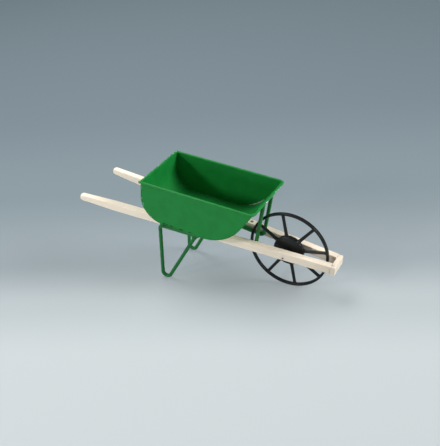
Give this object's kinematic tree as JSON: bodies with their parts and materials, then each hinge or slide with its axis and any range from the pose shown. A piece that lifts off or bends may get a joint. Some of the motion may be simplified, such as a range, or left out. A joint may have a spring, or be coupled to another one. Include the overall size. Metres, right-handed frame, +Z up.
{
  "type": "miniature wheelbarrow",
  "caption": "Small garden barrow with a painted sheet tub on tapering wooden shafts, a spoked front wheel on a pin, and bent wire legs and stays.",
  "frame": {"origin": "middle of the whole outline, on the ground that the wheel and feet stand on", "axes": "+X forward from the grips to the wheel, +Y to the left side, +Z up"},
  "size_m": [0.1423, 0.0386, 0.0611],
  "materials": {
    "tub_paint": "semi-gloss brush enamel, mid green",
    "wire_paint": "semi-gloss brush enamel, mid green, thick on the bends",
    "bare_wood": "bare pale wood, sanded, straight grain",
    "black_enamel": "gloss black enamel",
    "pin_steel": "dull wire",
    "nail_iron": "dull dark nail"
  },
  "bodies": {
    "barrow": {"tub_wrap": "tub_paint", "tub_side_left": "tub_paint", "tub_side_right": "tub_paint", "shaft_left": "bare_wood", "shaft_right": "bare_wood", "front_beam": "bare_wood", "leg_left": "wire_paint", "leg_right": "wire_paint", "stay_left": "wire_paint", "stay_right": "wire_paint", "axle_pin": "pin_steel", "tub_nail_rear_left": "nail_iron", "tub_nail_front_left": "nail_iron", "tub_nail_rear_right": "nail_iron", "tub_nail_front_right": "nail_iron", "stay_nail_left": "nail_iron"},
    "wheel": {"wheel": "black_enamel"}
  },
  "joints": [
    {"name": "wheel_spin", "type": "hinge", "parent": "barrow", "child": "wheel", "pos_m": [0.04399, 0, 0.0215], "axis": [0, 1, 0], "continuous": true}
  ]
}
